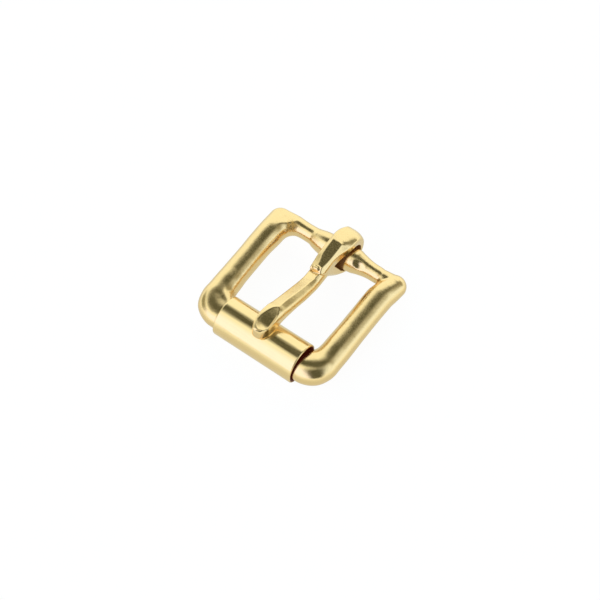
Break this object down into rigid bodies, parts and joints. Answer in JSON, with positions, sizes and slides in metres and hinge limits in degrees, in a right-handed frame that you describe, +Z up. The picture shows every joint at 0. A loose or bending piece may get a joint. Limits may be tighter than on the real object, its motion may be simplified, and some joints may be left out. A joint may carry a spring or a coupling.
{
  "type": "roller buckle",
  "caption": "Small rectangular roller buckle: round-bar frame with rounded corners, loose tube roller on the front bar, and a scooped prong that swings on the heel bar.",
  "frame": {"origin": "on the surface that the buckle lies on, below the middle of the whole buckle", "axes": "+X along the roller, +Y from the roller to the heel bar, +Z up from the surface"},
  "size_m": [0.03, 0.032, 0.0112],
  "materials": {
    "cast_brass": "polished cast brass with a fine grain",
    "roller_brass": "smooth drawn brass, brushed along its length"
  },
  "bodies": {
    "frame": {"frame": "cast_brass"},
    "roller": {"roller": "roller_brass"},
    "prong": {"prong": "cast_brass"}
  },
  "joints": [
    {"name": "roller_spin", "type": "hinge", "parent": "frame", "child": "roller", "pos_m": [0.00027, -0.01206, 0.00395], "axis": [1, 0, 0], "continuous": true},
    {"name": "prong_swing", "type": "hinge", "parent": "frame", "child": "prong", "pos_m": [0.00085, 0.01141, 0.004], "axis": [-1, 0, 0], "range_deg": [0, 170]}
  ]
}
